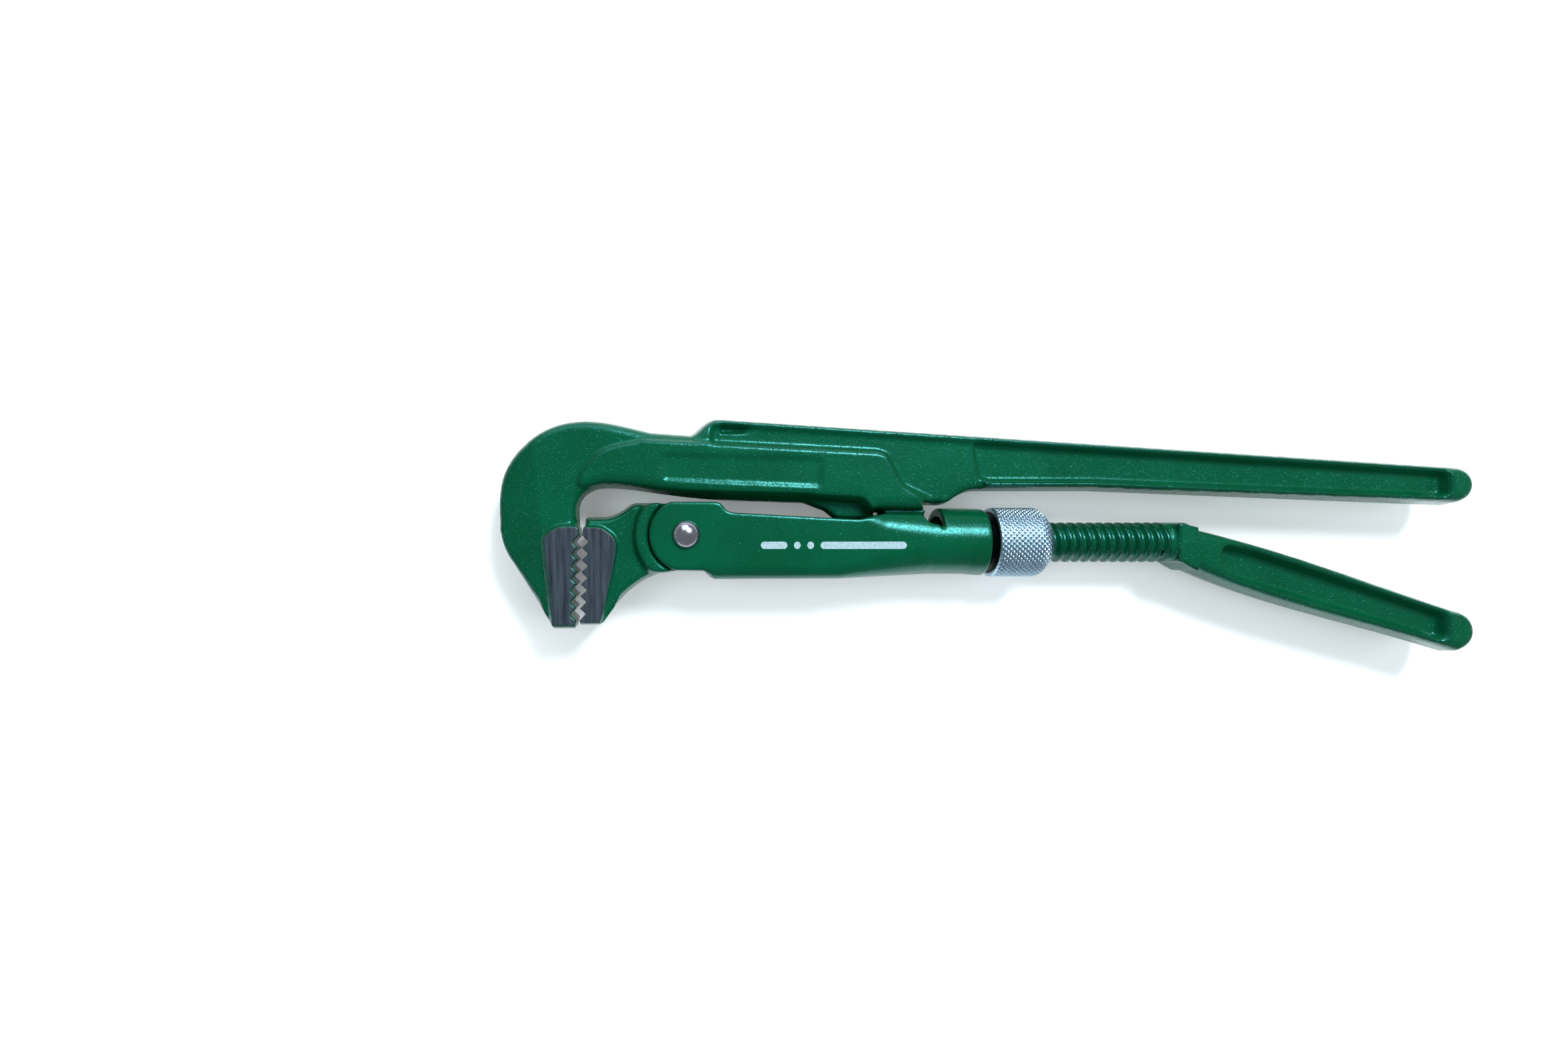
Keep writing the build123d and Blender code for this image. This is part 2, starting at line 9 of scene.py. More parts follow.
import bpy
import numpy as np
import openvdb
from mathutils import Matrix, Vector


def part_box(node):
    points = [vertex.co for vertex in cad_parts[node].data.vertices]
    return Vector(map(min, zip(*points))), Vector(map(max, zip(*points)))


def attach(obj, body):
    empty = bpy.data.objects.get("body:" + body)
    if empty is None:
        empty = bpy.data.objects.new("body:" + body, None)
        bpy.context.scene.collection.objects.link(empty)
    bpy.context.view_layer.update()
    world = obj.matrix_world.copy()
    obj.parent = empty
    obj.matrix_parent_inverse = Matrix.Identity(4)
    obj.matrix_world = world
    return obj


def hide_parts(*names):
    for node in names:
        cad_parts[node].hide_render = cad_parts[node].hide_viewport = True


MM = 0.001
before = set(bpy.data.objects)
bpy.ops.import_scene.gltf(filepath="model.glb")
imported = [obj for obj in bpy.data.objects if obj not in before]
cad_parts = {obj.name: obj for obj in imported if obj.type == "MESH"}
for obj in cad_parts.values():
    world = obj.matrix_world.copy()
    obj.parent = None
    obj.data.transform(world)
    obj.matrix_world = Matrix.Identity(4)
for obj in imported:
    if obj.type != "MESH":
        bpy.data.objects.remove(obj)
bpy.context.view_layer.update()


# ---- datum: the screw's axis, the rivet's axis and the middle plane ---------------
def middle(node):
    """The middle of a node's box."""
    low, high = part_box(node)
    return (low + high) / 2


RIVET_X_MM = -0.5
nut_middle = middle("knurled_nut")
rivet_middle = middle("jaw_rivet")
ORIGIN = np.array([rivet_middle.x - RIVET_X_MM * MM, nut_middle.y, nut_middle.z])


def at(x, y, z=0.0):
    """A point given in millimetres from the datum, in the frame's metres."""
    return tuple(ORIGIN + np.array([x, y, z]) * MM)


# ---- camera: square to the tool's side, a wide lens close above it -------------------
CAMERA_HEIGHT_MM = 272.7
FOOT_MM = (-14.0, 0.3)             # the point that the camera stands straight above
camera_data = bpy.data.cameras.new("camera")
camera_data.sensor_width = 36
camera_data.lens = 20
camera_data.shift_x = 0.091        # the foot is left of the picture's middle
camera_data.shift_y = 0.012
camera_data.clip_start = 0.01
camera = bpy.data.objects.new("camera", camera_data)
camera.location = at(*FOOT_MM, CAMERA_HEIGHT_MM)
bpy.context.scene.collection.objects.link(camera)
bpy.context.scene.camera = camera


# ---- materials ---------------------------------------------------------------------
class Nodes:
    """A short way to write a node tree."""

    def __init__(self, name):
        self.material = bpy.data.materials.new(name)
        self.material.use_nodes = True
        self.tree = self.material.node_tree
        self.shader = self.tree.nodes["Principled BSDF"]

    def add(self, kind, inputs=None, **settings):
        """A new node. Inputs are constants or the sockets to link; settings are its properties."""
        node = self.tree.nodes.new("ShaderNode" + kind)
        for key, value in settings.items():
            setattr(node, key, value)
        for key, value in (inputs or {}).items():
            if isinstance(value, bpy.types.NodeSocket):
                self.tree.links.new(value, node.inputs[key])
            else:
                node.inputs[key].default_value = value
        return node

    def position(self):
        """The place on the piece, in the frame's metres."""
        return self.add("TexCoord").outputs["Object"]

    def noise(self, scale, detail=3.0, roughness=0.5, stretch=None):
        """Fractal noise. stretch is a scale and a rotation for the place it is read at."""
        place = self.position()
        if stretch:
            turned_place = {"Vector": place, "Scale": stretch[0], "Rotation": stretch[1]}
            place = self.add("Mapping", turned_place).outputs[0]
        made = self.add("TexNoise", {"Vector": place, "Scale": scale, "Detail": detail,
                                     "Roughness": roughness})
        return made.outputs["Fac"]

    def ramp(self, value, low, high):
        """0 below low, 1 above high, straight between them."""
        made = self.add("MapRange", {"Value": value, "From Min": low, "From Max": high})
        return made.outputs["Result"]

    def mix(self, factor, first, second):
        """The first colour at factor 0, the second at 1."""
        made = self.add("Mix", data_type="RGBA")
        for key, value in ((0, factor), (6, first), (7, second)):
            if isinstance(value, bpy.types.NodeSocket):
                self.tree.links.new(value, made.inputs[key])
            else:
                made.inputs[key].default_value = value
        return made.outputs[2]

    def number(self, operation, first, second=0.0):
        """The result of one step of arithmetic."""
        made = self.add("Math", {0: first, 1: second}, operation=operation)
        return made.outputs[0]

    def bump(self, height, distance, strength, normal=None):
        """A normal bent by a height, on top of another normal where one is given."""
        inputs = {"Height": height, "Distance": distance, "Strength": strength}
        if normal:
            inputs["Normal"] = normal
        return self.add("Bump", inputs).outputs["Normal"]

    def set(self, **inputs):
        """Constants or links for the main shader; an underscore stands for a space."""
        for key, value in inputs.items():
            socket = self.shader.inputs[key.replace("_", " ")]
            if isinstance(value, bpy.types.NodeSocket):
                self.tree.links.new(value, socket)
            else:
                socket.default_value = value


GREEN = (0.0001, 0.048, 0.0170, 1)
# The next colour is the painted shade laid into the enamel's creases and hollows.
GREEN_PAINTED_SHADE = (0.0001, 0.025, 0.0098, 1)
GREEN_LIGHT = (0.0002, 0.060, 0.0225, 1)
SHEEN = (0.22, 0.95, 0.95, 1)      # the enamel's green glaze tints what it mirrors
STEEL_DARK = (0.005, 0.011, 0.018, 1)
STEEL_LIGHT = (0.048, 0.068, 0.090, 1)
PRINT_THIN = (0.20, 0.29, 0.32, 1)
PRINT_FULL = (0.30, 0.42, 0.46, 1)


def enamel_layers(nodes, grain):
    """Colour, roughness and normal of green enamel over a coarse forged skin, with painted shade in
    its hollows.
    """
    patches = nodes.ramp(nodes.noise(60, 4), 0.35, 0.65)
    colour = nodes.mix(patches, GREEN, GREEN_LIGHT)
    # Concave places, found by pointiness, are darkened towards the deep green: painted shade in
    # creases and hollows.
    edge = nodes.add("NewGeometry").outputs["Pointiness"]
    hollow_shade = nodes.ramp(edge, 0.50, 0.455)
    colour = nodes.mix(nodes.number("MULTIPLY", hollow_shade, 0.8), colour, GREEN_PAINTED_SHADE)
    skin = nodes.noise(1500, 2, 0.6)
    pits = nodes.ramp(nodes.noise(1700, 2), 0.60, 0.74)
    wave = nodes.noise(160, 3)
    normal = nodes.bump(wave, 0.25 * MM, 0.5)
    normal = nodes.bump(skin, 0.05 * MM * grain, 0.9, normal)
    normal = nodes.bump(pits, 0.11 * MM * grain, 0.9, normal)
    rough = nodes.add("MapRange", {"Value": skin, "To Min": 0.18, "To Max": 0.32}).outputs["Result"]
    return colour, rough, normal


def enamel(name, grain=1.0):
    """Green enamel all over."""
    nodes = Nodes(name)
    colour, rough, normal = enamel_layers(nodes, grain)
    nodes.set(Base_Color=colour, Roughness=rough, Normal=normal, IOR=1.5, Specular_Tint=SHEEN)
    return nodes.material


def ground_enamel(name, bare_above, bare_left_of):
    """Enamel, with bare ground steel left of an X where the surface is above the given height."""
    nodes = Nodes(name)
    colour, rough, normal = enamel_layers(nodes, 1.0)
    place = nodes.add("SeparateXYZ", {0: nodes.position()})
    height = nodes.number("ABSOLUTE", nodes.number("SUBTRACT", place.outputs["Z"], float(ORIGIN[2])))
    high = nodes.number("GREATER_THAN", height, bare_above)
    left = nodes.number("LESS_THAN", place.outputs["X"], bare_left_of)
    mask = nodes.number("MULTIPLY", high, left)
    scratch = nodes.noise(900, 6, 0.7, stretch=((1.0, 0.045, 0.3), (0, 0, 0.11)))
    streak = nodes.noise(900, 3, 0.6, stretch=((1.0, 0.06, 0.3), (0, 0, 0.09)))
    tone = nodes.ramp(nodes.number("ADD", scratch, streak), 0.72, 1.28)
    bare = nodes.mix(tone, STEEL_DARK, STEEL_LIGHT)
    steel_normal = nodes.bump(scratch, 0.05 * MM, 0.7)
    nodes.set(Base_Color=bare, Metallic=0.35, Roughness=0.42, Normal=steel_normal)
    paint = nodes.add("BsdfPrincipled", {"Base Color": colour, "Roughness": rough, "Normal": normal,
                                         "IOR": 1.5, "Specular Tint": SHEEN})
    both = nodes.add("MixShader", {0: mask, 1: paint.outputs[0], 2: nodes.shader.outputs[0]})
    output = nodes.tree.nodes["Material Output"]
    nodes.tree.links.new(both.outputs[0], output.inputs["Surface"])
    return nodes.material


def plated(name, colour, roughness, cloud):
    """Bright plating with a faint cloudiness and fine scratches."""
    nodes = Nodes(name)
    patches = nodes.ramp(nodes.noise(300, 4), 0.3, 0.7)
    clouded = tuple(channel * 0.6 for channel in colour[:3]) + (1,)
    shade = nodes.mix(nodes.number("MULTIPLY", patches, cloud), colour, clouded)
    rough = nodes.add("MapRange", {"Value": nodes.noise(700, 3), "To Min": roughness * 0.75,
                                   "To Max": roughness * 1.3}).outputs["Result"]
    normal = nodes.bump(nodes.noise(1800, 3), 0.02 * MM, 0.5)
    nodes.set(Base_Color=shade, Metallic=1.0, Roughness=rough, Normal=normal)
    return nodes.material


def print_paint():
    """Pale screen print, thin and slightly patchy."""
    nodes = Nodes("pale_print")
    patches = nodes.ramp(nodes.noise(1400, 3), 0.3, 0.6)
    nodes.set(Base_Color=nodes.mix(patches, PRINT_THIN, PRINT_FULL), Roughness=0.45)
    return nodes.material


# ---- fields of signed distances ----------------------------------------------------
class Field:
    """A CAD node as signed distances on a lattice that has the middle plane as a layer.

    The distances are right up to `reach` lattice steps from the surface.
    """

    def __init__(self, node, voxel, reach):
        low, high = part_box(node)
        self.voxel = voxel
        margin = 4 * voxel
        self.start = np.array([low.x - margin, low.y - margin, ORIGIN[2]])
        counts = [int((high[i] - low[i] + 2 * margin) / voxel) + 2 for i in range(2)]
        layers = int((max(high.z - ORIGIN[2], ORIGIN[2] - low.z) + margin) / voxel) + 1
        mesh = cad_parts[node].data
        mesh.calc_loop_triangles()
        points = np.empty(len(mesh.vertices) * 3, np.float32)
        mesh.vertices.foreach_get("co", points)
        triangles = np.empty(len(mesh.loop_triangles) * 3, np.int32)
        mesh.loop_triangles.foreach_get("vertices", triangles)
        points = (points.reshape(-1, 3) - self.start).astype(np.float32)
        grid = openvdb.FloatGrid.createLevelSetFromPolygons(
            points, triangles=triangles.reshape(-1, 3).astype(np.uint32),
            transform=openvdb.createLinearTransform(voxel), halfWidth=reach)
        self.values = np.empty((counts[0], counts[1], 2 * layers + 1), np.float32)
        grid.copyToArray(self.values, ijk=(0, 0, -layers))
        self.layers = layers
        xs = (np.arange(counts[0]) * voxel + self.start[0] - ORIGIN[0]) / MM
        ys = (np.arange(counts[1]) * voxel + self.start[1] - ORIGIN[1]) / MM
        self.x = xs[:, None].astype(np.float32)      # millimetres from the datum
        self.y = ys[None, :].astype(np.float32)
        self.z = (np.arange(-layers, layers + 1) * voxel).astype(np.float32)

    def surface(self, name, body, values, material, replaced):
        """Meshes the field where it is zero, as a piece that stands for its CAD node."""
        band = 3 * self.voxel
        grid = openvdb.FloatGrid(background=band)
        grid.transform = openvdb.createLinearTransform(self.voxel)
        grid.copyFromArray(np.clip(values, -band, band), ijk=(0, 0, -self.layers))
        points, quads = grid.convertToQuads(0.0)
        made = mesh_piece(name, points + self.start, quads[:, ::-1], material)
        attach(made, body)
        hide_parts(*replaced)
        return made


def mesh_piece(name, points, faces, material):
    """A smooth-shaded mesh object in the scene."""
    mesh = bpy.data.meshes.new(name)
    mesh.from_pydata(np.asarray(points).tolist(), [], np.asarray(faces).tolist())
    mesh.validate()
    mesh.update()
    mesh.polygons.foreach_set("use_smooth", [True] * len(mesh.polygons))
    mesh.materials.append(material)
    made = bpy.data.objects.new(name, mesh)
    bpy.context.scene.collection.objects.link(made)
    return made


def blur(values, sigma, axes):
    """Gaussian blur along the given axes; sigma is in lattice steps."""
    reach = int(math.ceil(3 * sigma))
    weights = np.exp(-0.5 * (np.arange(-reach, reach + 1) / sigma) ** 2)
    weights /= weights.sum()
    for axis in axes:
        width = [(0, 0)] * values.ndim
        width[axis] = (reach, reach)
        padded = np.pad(values, width, mode="edge")
        total = np.zeros_like(values)
        for step, weight in enumerate(weights):
            cut = [slice(None)] * values.ndim
            cut[axis] = slice(step, step + values.shape[axis])
            total += np.float32(weight) * padded[tuple(cut)]
        values = total
    return values


def smooth_max(first, second, radius):
    """The larger of two fields, with its edge rounded over about that radius."""
    overlap = np.maximum(radius - np.abs(first - second), 0) / radius
    return np.maximum(first, second) + overlap * overlap * radius / 4


def step_up(value, low, high):
    """0 below low, 1 above high, an S-curve between them."""
    share = np.clip((value - low) / (high - low), 0, 1)
    return share * share * (3 - 2 * share)


PAD_FLOOR = 8.2 * MM               # ground flats start from surfaces above this height
PAD_LIFT = 2.2 * MM
PAD_EDGE = 0.02


def forged(field, draft, soft, round_off, extra=None, pad=None):
    """The node rebuilt as a forging. draft and round_off may vary over the XY lattice.

    Where pad is set, what stands highest is raised further, so that a later cut leaves a crisp flat.
    """
    values, voxel = field.values, field.voxel
    inside = np.clip(0.5 - values / voxel, 0, 1)
    height = (inside[:, :, field.layers:].sum(2) - 0.5 * inside[:, :, field.layers]) * voxel
    if pad is not None:
        height = height + PAD_LIFT * (height > PAD_FLOOR) * (pad > PAD_EDGE)
    outline = values[:, :, field.layers]
    solid = (outline < 0).astype(np.float32)
    level = blur(height * solid, soft, (0, 1)) / np.maximum(blur(solid, soft, (0, 1)), 1e-3)
    spread = blur(blur(solid, soft, (0, 1)), soft, (0, 1)) > 0.02
    level = np.where(spread, level, height.max())
    round_off = np.minimum(round_off, 0.4 * level)
    if extra is not None:
        level = level + extra
    gx, gy = np.gradient(level, voxel)
    steep = np.sqrt(1 + np.minimum(gx * gx + gy * gy, 4.0))
    rise = np.abs(field.z)[None, None, :]
    top = (rise - level[:, :, None]) / steep[:, :, None]
    side = (outline[:, :, None] + draft[:, :, None] * rise) / np.sqrt(1 + draft[:, :, None] ** 2)
    return smooth_max(top, side, round_off[:, :, None])


def waviness(field, size_mm, amount, seed):
    """Gentle unevenness of a forged skin, as a height over the XY lattice."""
    rng = np.random.default_rng(seed)
    rough = rng.standard_normal(field.values.shape[:2]).astype(np.float32)
    rough = blur(rough, size_mm * MM / field.voxel, (0, 1))
    return rough / max(float(np.abs(rough).max()), 1e-9) * amount


# ---- forgings ------------------------------------------------------------------------
VOXEL = 0.00036
DEEP_REACH_MM = 7
DRAFT = 0.15
DENT_DEPTH = 1.8 * MM              # dent where the handle's top flange starts
CLAW_REACH_MM = 6.4                # box round the claws, which keep their turned shape
CLAW_TOP_MM = 9.6
CLAW_HALF_MM = 5.3
TUBE_TOP_MM = 8.6
GRIND_PLANE = 8.95 * MM            # height of the jaws' ground flats above the middle plane


def ground(field, values, pad):
    """Cuts the field flat at the grinding plane wherever pad is set."""
    cut = np.abs(field.z)[None, None, :] - GRIND_PLANE
    return np.maximum(values, np.where(pad[:, :, None] > PAD_EDGE, cut, -1.0))


def paint_shade_inside(made, left, right):
    """What lies inside the sleeve between two X stations is coloured near-black: painted shade for
    the dark inside of the sleeve.
    """
    made.data.materials.append(shade_black)
    low, high = at(left, 0), at(right, TUBE_TOP_MM)
    for polygon in made.data.polygons:
        spot = polygon.center
        if low[0] < spot.x < high[0] and spot.y < high[1]:
            polygon.material_index = 1


def build_upper_leg():
    """Hook jaw, arm, lug with its claws, and flanged handle."""
    field = Field("upper_leg", VOXEL, reach=DEEP_REACH_MM * MM / VOXEL)
    x, y = field.x, field.y
    near_teeth = step_up(-x, 29.5, 32.5) * step_up(-y, -6.5, -4.0) * np.ones_like(x * y)
    draft = DRAFT * (1 - near_teeth)
    pad = near_teeth * step_up(x, -47.0, -43.0)
    round_off = (3.2 - 2.95 * pad) * MM
    bumps = waviness(field, 2.2, 0.10 * MM, 4) * (1 - pad)
    under_flange = 37.0 - 0.0655 * (x - 10)
    dent = step_up(x, 10.0, 10.6) * (1 - step_up(x, 16.0, 20.0)) * step_up(y, 33.0, 34.4)
    dent = dent * (1 - step_up(y, under_flange - 1.6, under_flange - 0.6))
    bumps = bumps - DENT_DEPTH * dent
    values = forged(field, draft, 0.50 * MM / VOXEL, round_off, bumps, pad)
    values = ground(field, values, pad)
    pin_x = (middle("fulcrum_pin").x - ORIGIN[0]) / MM
    claw = (np.abs(x - pin_x) < CLAW_REACH_MM) & (y < CLAW_TOP_MM)
    thin = np.abs(field.z) < CLAW_HALF_MM * MM
    claws = np.where(claw[:, :, None] & thin[None, None, :], field.values, 1.0)
    values = np.minimum(values, claws)
    paint = ground_enamel("enamel_upper_leg", GRIND_PLANE - 0.05 * MM, at(-20, 0)[0])
    made = field.surface("upper_leg_forging", "upper_leg", values, paint, ["upper_leg"])
    paint_shade_inside(made, pin_x - 7.5, pin_x + 7.5)


def build_lower_jaw():
    """Movable jaw with its teeth, ground flats and the ring round the rivet."""
    voxel = VOXEL * 0.8
    field = Field("lower_jaw", voxel, reach=DEEP_REACH_MM * MM / voxel)
    x, y = field.x, field.y
    near_teeth = step_up(-x, 20.0, 22.5) * step_up(-y, -6.0, -4.0) * np.ones_like(x * y)
    from_rivet = np.hypot(x - RIVET_X_MM, y - (rivet_middle.y - ORIGIN[1]) / MM)
    hub = 1 - step_up(from_rivet, 13.0, 15.5)
    draft = DRAFT * (1 - near_teeth) * (1 - hub)
    round_off = (1.5 - 1.2 * near_teeth - 0.5 * hub * (1 - near_teeth)) * MM
    bumps = waviness(field, 2.0, 0.09 * MM, 9) * (1 - near_teeth) * (1 - hub)
    values = forged(field, draft, 0.42 * MM / voxel, round_off, bumps, near_teeth)
    values = ground(field, values, near_teeth)
    paint = ground_enamel("enamel_lower_jaw", GRIND_PLANE - 0.05 * MM, at(-19, 0)[0])
    field.surface("lower_jaw_forging", "lower_jaw", values, paint, ["lower_jaw"])


def build_sleeve(paint):
    """Channel and tube, with every edge softened."""
    voxel = VOXEL * 0.8
    field = Field("sleeve", voxel, reach=5)
    values = blur(field.values, 0.42 * MM / voxel, (0, 1, 2))
    field.surface("sleeve_shell", "sleeve", values, paint, ["sleeve"])


# ---- lower leg: thread and grip -------------------------------------------------------
THREAD_START_MM = 79.0
THREAD_END_MM = 149.0
GRIP_START_MM = 147.0
COLLAR_END_MM = 156.0
CREST_MM = 6.2
ROOT_MM = 4.95
PITCH_MM = 3.0


def build_thread(paint):
    """A right-hand trapezoidal thread as a strip wound along its helix.

    The profile gives the radius at shares of one pitch.
    """
    steps = 72
    foot, brow = ROOT_MM + 0.12, CREST_MM - 0.15
    profile = [(0.00, ROOT_MM), (0.30, ROOT_MM), (0.36, foot), (0.50, brow),
               (0.56, CREST_MM), (0.84, CREST_MM), (0.90, brow), (0.99, foot)]
    turns = (THREAD_END_MM - THREAD_START_MM) / PITCH_MM
    count = int(turns * steps)
    points = []
    for i in range(count + 1):
        angle = 2 * math.pi * i / steps
        for share, radius in profile:
            x = THREAD_START_MM + PITCH_MM * (i / steps + share - 1)
            points.append(at(x, radius * math.cos(angle), radius * math.sin(angle)))
    faces = []
    wide = len(profile)
    for i in range(count):
        here, there = i * wide, (i + 1) * wide
        for j in range(wide - 1):
            faces.append((here + j, here + j + 1, there + j + 1, there + j))
        if i + steps < count:
            next_turn = here + steps * wide
            faces.append((here + wide - 1, next_turn, next_turn + wide, there + wide - 1))
    thread = mesh_piece("lower_leg_thread", points, faces, paint)
    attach(thread, "lower_leg")


def build_lower_leg(paint):
    """Flat front end in the claws, threaded shank and forged grip."""
    field = Field("lower_leg", VOXEL, reach=DEEP_REACH_MM * MM / VOXEL)
    x = field.x[:, :, None]
    draft = np.full(field.values.shape[:2], 0.12, np.float32)
    round_off = np.full(field.values.shape[:2], 2.8 * MM, np.float32)
    grip = forged(field, draft, 0.6 * MM / VOXEL, round_off, waviness(field, 2.2, 0.1 * MM, 5))
    turned_part = blur(field.values, 0.8, (0, 1, 2))
    grip = np.minimum(grip, np.where(x < COLLAR_END_MM, turned_part, 1.0))
    shank = np.where(x > THREAD_START_MM + 1.0, 1.0, turned_part)
    values = np.where(x > GRIP_START_MM, grip, shank)
    build_thread(paint)
    made = field.surface("lower_leg_forging", "lower_leg", values, paint, ["lower_leg"])
    paint_shade_inside(made, 55.0, THREAD_START_MM + 1.0)


# ---- turned pieces ---------------------------------------------------------------------
RIVET_SHANK_MM = 3.0


def turned(name, stations, around, axis, centre, material, relief=None):
    """A surface of revolution about X or Z. stations are (along, radius) in millimetres.

    relief gives what to add to the radius at a place along the axis and an angle.
    """
    points = []
    for along, radius in stations:
        for k in range(around):
            angle = 2 * math.pi * k / around
            r = radius + (relief(along, angle) if relief else 0.0)
            across = (r * math.cos(angle), r * math.sin(angle))
            offset = (along, *across) if axis == "X" else (*across, along)
            points.append(tuple(centre + np.array(offset) * MM))
    faces = []
    rows = len(stations)
    for i in range(rows - 1):
        for k in range(around):
            following = (k + 1) % around
            faces.append((i * around + k, i * around + following,
                          (i + 1) * around + following, (i + 1) * around + k))
    return mesh_piece(name, points, faces, material)


def build_rivet(material):
    """The rivet's two domes, cut from spheres, and the shank between them."""
    low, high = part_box("jaw_rivet")
    head = (high.x - low.x) / 2 / MM
    half = (high.z - low.z) / 2 / MM
    seat = (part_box("sleeve")[1].z - ORIGIN[2]) / MM
    rise = half - seat
    sphere = (head * head + rise * rise) / (2 * rise)
    stations = [(half, 0.0005)]
    opening = math.asin(head / sphere)
    for k in range(24):
        angle = opening * k / 23
        stations.append((half - sphere + sphere * math.cos(angle),
                         max(sphere * math.sin(angle), 0.001)))
    stations += [(seat + 0.02, head - 0.06), (seat, head - 0.25)]
    stations += [(seat, RIVET_SHANK_MM), (0.0, RIVET_SHANK_MM)]
    stations += [(-along, radius) for along, radius in reversed(stations[:-1])]
    centre = np.array([rivet_middle.x, rivet_middle.y, ORIGIN[2]])
    made = turned("jaw_rivet_domes", stations, 96, "Z", centre, material)
    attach(made, "sleeve")
    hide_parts("jaw_rivet")


KNURL_PITCHES = 42
KNURL_DEPTH_MM = 0.55
NUT_NECK_MM = 7.8
NUT_BORE_MM = 6.25
NECK_SHOWN_MM = 2.1                # neck between the tube's end and the knurl
NUT_SHOULDER_MM = [(-5.0, 0.0), (-4.4, 0.03), (-3.8, 0.17), (-3.2, 0.47), (-2.6, 0.93),
                   (-2.0, 1.55), (-1.4, 2.3), (-0.8, 3.1), (-0.3, 3.75), (0.0, 4.1)]


def build_nut(material, neck_shade_material):
    """The nut: plain neck in the tube, diamond knurl, rounded outer end.

    The shoulder lists how far the outline has dropped at places before the nut's end.
    """
    low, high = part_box("knurled_nut")
    start = (low.x - ORIGIN[0]) / MM
    end = (high.x - ORIGIN[0]) / MM
    radius = (high.y - low.y) / 2 / MM
    knurl_start = (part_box("sleeve")[1].x - ORIGIN[0]) / MM + NECK_SHOWN_MM
    lead = 2 * math.pi * radius / KNURL_PITCHES * 1.05

    def relief(along, angle):
        """Two crossed sets of V grooves that fade out at both ends."""
        if along < knurl_start + 0.5:
            return 0.0
        turn = angle * KNURL_PITCHES / (2 * math.pi)
        shift = (along - knurl_start) / lead
        first = abs(((turn + shift) % 1.0) * 2 - 1)
        second = abs(((turn - shift) % 1.0) * 2 - 1)
        ridge = min(first, second)
        fade_in = min((along - knurl_start - 0.5) / 0.3, 1.0)
        fade_out = min(max((end - 1.2 - along) / 1.6, 0.0), 1.0)
        return -KNURL_DEPTH_MM * (1 - min(ridge * 1.6, 1.0)) * fade_in * fade_out

    stations = [(start, NUT_BORE_MM), (start, NUT_NECK_MM), (knurl_start - 0.02, NUT_NECK_MM),
                (knurl_start, radius - 1.1), (knurl_start + 0.15, radius - 0.4),
                (knurl_start + 0.4, radius - 0.05)]
    places = [place for place, _ in NUT_SHOULDER_MM]
    drops = [drop for _, drop in NUT_SHOULDER_MM]
    steps = int((end - knurl_start - 0.6) / 0.16)
    for along in np.linspace(knurl_start + 0.6, end, steps):
        drop = np.interp(along - end, places, drops)
        stations.append((float(along), radius - float(drop)))
    stations += [(end, NUT_BORE_MM), (start, NUT_BORE_MM)]
    around = KNURL_PITCHES * 12
    made = turned("nut_knurled", stations, around, "X", ORIGIN, material, relief)
    # The neck's faces get the near-black material: painted shade for the dark gap between the tube's
    # end and the knurl.
    made.data.materials.append(neck_shade_material)
    for polygon in made.data.polygons[:3 * around]:
        polygon.material_index = 1
    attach(made, "nut")
    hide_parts("knurled_nut")


# ---- pale print on the sleeve -----------------------------------------------------------
PRINT_BARS_MM = [(22.0, 30.0), (32.0, 34.0), (36.0, 38.0), (40.0, 66.0)]
PRINT_Y_MM = -0.9
PRINT_HALF_MM = 1.1
PRINT_CORNERS = 32


def build_print(material):
    """A row of plain bars with round ends on the sleeve's side."""
    face = (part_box("sleeve")[1].z - ORIGIN[2]) / MM + 0.02
    points, faces = [], []
    for left, right in PRINT_BARS_MM:
        base = len(points)
        bend = min(PRINT_HALF_MM, (right - left) / 2)
        for k in range(PRINT_CORNERS):
            angle = 2 * math.pi * k / PRINT_CORNERS
            centre = right - bend if math.cos(angle) > 0 else left + bend
            points.append(at(centre + bend * math.cos(angle),
                             PRINT_Y_MM + PRINT_HALF_MM * math.sin(angle), face))
        faces.append(tuple(range(base, base + PRINT_CORNERS)))
    mesh = bpy.data.meshes.new("sleeve_print")
    mesh.from_pydata(points, [], faces)
    mesh.materials.append(material)
    piece = bpy.data.objects.new("sleeve_print", mesh)
    bpy.context.scene.collection.objects.link(piece)
    thick = piece.modifiers.new("thickness", "SOLIDIFY")
    thick.thickness = 0.05 * MM
    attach(piece, "sleeve")


# ---- floor and light ---------------------------------------------------------------------
FLOOR_HALF = 4


def build_stage():
    """A plain pale floor with a faint glow of its own, like a light table."""
    nodes = Nodes("pale_floor")
    nodes.set(Base_Color=(0.96, 0.96, 0.96, 1), Roughness=0.9)
    nodes.shader.inputs["Specular IOR Level"].default_value = 0.1
    nodes.shader.inputs["Emission Color"].default_value = (1, 1, 1, 1)
    nodes.shader.inputs["Emission Strength"].default_value = 0.16
    corners = [(-FLOOR_HALF, -FLOOR_HALF, 0), (FLOOR_HALF, -FLOOR_HALF, 0),
               (FLOOR_HALF, FLOOR_HALF, 0), (-FLOOR_HALF, FLOOR_HALF, 0)]
    floor = mesh_piece("floor", corners, [(0, 1, 2, 3)], nodes.material)


COOL_WHITE = (0.88, 0.97, 1.0)
SOFT_WHITE = (0.90, 0.97, 1.0)
ROOM = (0.85, 0.93, 1.0, 1)


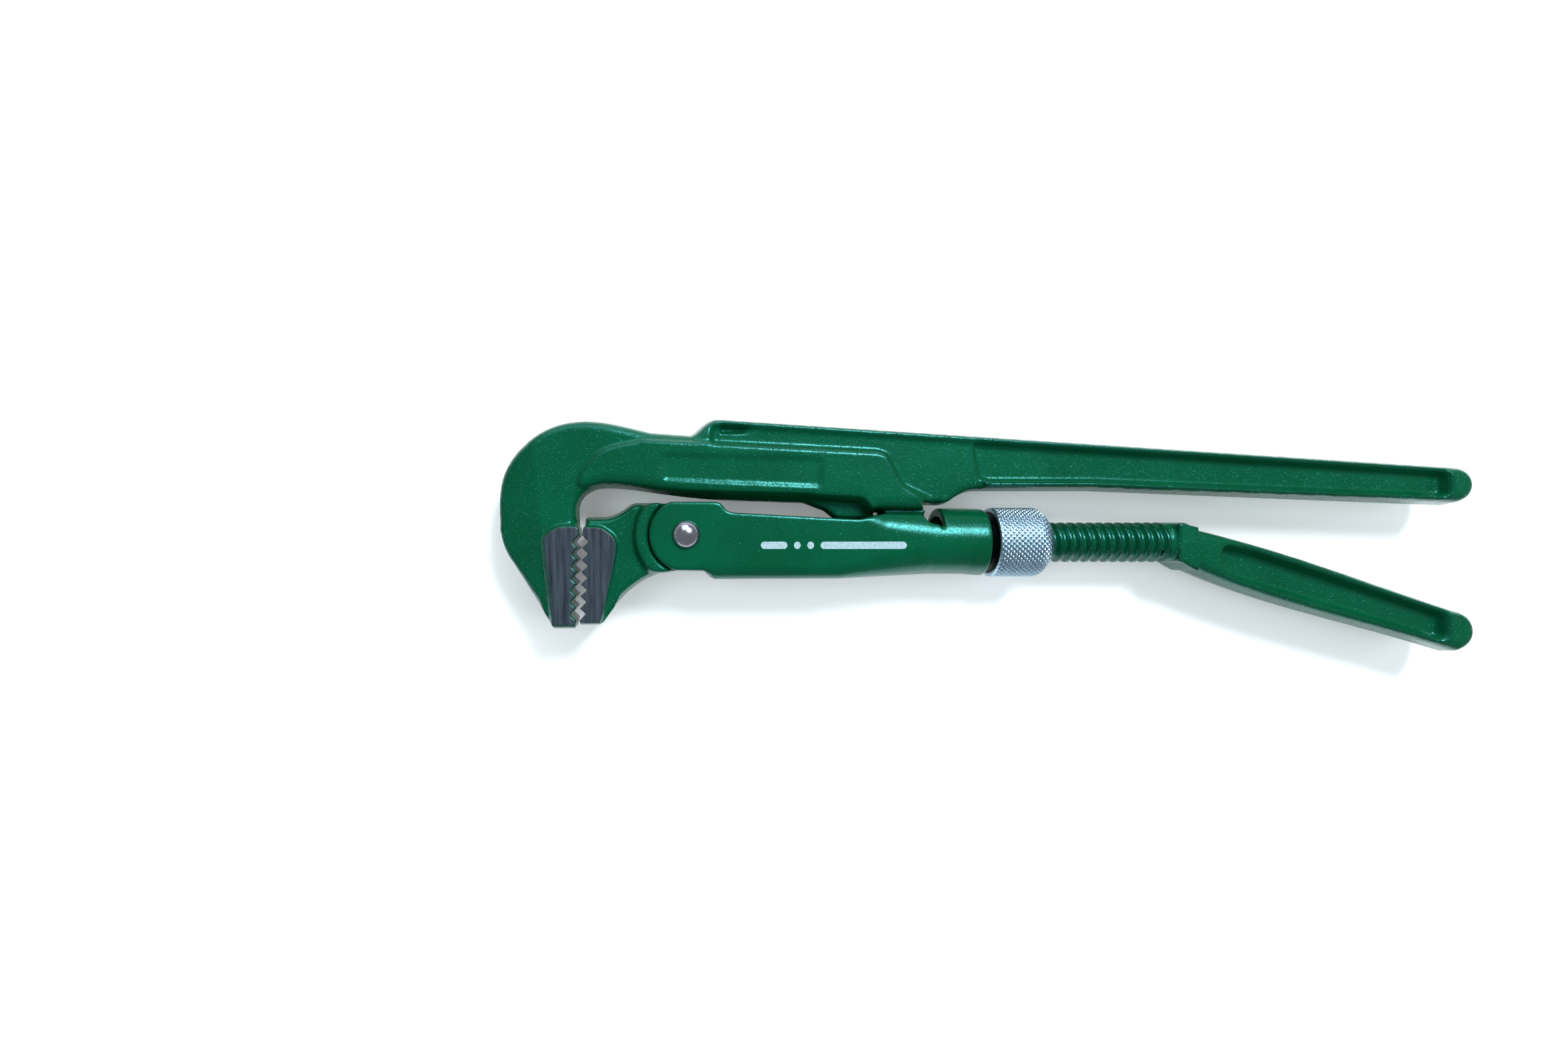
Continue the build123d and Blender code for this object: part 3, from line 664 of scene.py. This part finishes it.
def softbox(name, direction, distance, size, power, colour, reflected=True):
    """A square area light that looks at the tool from that direction.

    Where reflected is off, the light fills shadows but isn't mirrored in the surfaces.
    """
    light = bpy.data.lights.new(name, "AREA")
    light.shape = "SQUARE"
    light.size = size
    light.energy = power
    light.color = colour
    made = bpy.data.objects.new(name, light)
    made.visible_glossy = reflected
    aim = np.array(at(40, 5, 0))
    way = np.array(direction, float) / np.linalg.norm(direction)
    made.location = aim + way * distance
    made.rotation_mode = "QUATERNION"
    made.rotation_quaternion = Vector(way).to_track_quat("Z", "Y")
    bpy.context.scene.collection.objects.link(made)


def build_light():
    """A key from the upper right, a broad softbox above the tool, weak fills, and a dim room."""
    world = bpy.data.worlds.new("studio")
    world.use_nodes = True
    backdrop = world.node_tree.nodes["Background"]
    backdrop.inputs["Color"].default_value = ROOM
    backdrop.inputs["Strength"].default_value = 0.30
    bpy.context.scene.world = world
    bpy.context.scene.view_settings.view_transform = "Standard"
    softbox("key", (0.33, 0.62, 0.85), 1.0, 0.34, 13, SOFT_WHITE)
    softbox("above", (-0.15, 1.0, 0.62), 1.2, 0.9, 6, COOL_WHITE)
    softbox("left", (-0.55, 0.05, 1.0), 1.2, 0.5, 2.5, COOL_WHITE, reflected=False)
    softbox("low", (0.1, -1.0, 0.75), 1.3, 1.0, 5, COOL_WHITE, reflected=False)
    softbox("right", (1.0, -0.1, 0.75), 1.3, 0.9, 5, SOFT_WHITE, reflected=False)


# ---- the scene ---------------------------------------------------------------------------
chrome = plated("bright_rivet_plate", (0.45, 0.44, 0.50, 1), 0.19, 0.25)
zinc = plated("zinc_plate_knurl", (0.38, 0.54, 0.66, 1), 0.32, 0.4)
steel = plated("oiled_steel", (0.30, 0.30, 0.31, 1), 0.35, 0.5)
# Near-black plating, used as painted shade inside the sleeve and in the nut's neck gap.
shade_black = plated("painted_shade_black", (0.02, 0.02, 0.022, 1), 0.45, 0.5)
blued = plated("blued_steel", (0.12, 0.13, 0.17, 1), 0.35, 0.5)
build_upper_leg()
build_lower_jaw()
build_sleeve(enamel("green_enamel_plain", 0.25))
build_lower_leg(enamel("green_enamel_leg"))
build_rivet(chrome)
build_nut(zinc, shade_black)
build_print(print_paint())
inner_pieces = {"fulcrum_pin": steel, "nut_retaining_ring": steel, "spring_rivet": steel,
                "jaw_spring": blued}
for node, material in inner_pieces.items():
    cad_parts[node].data.materials.clear()
    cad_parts[node].data.materials.append(material)
build_stage()
build_light()
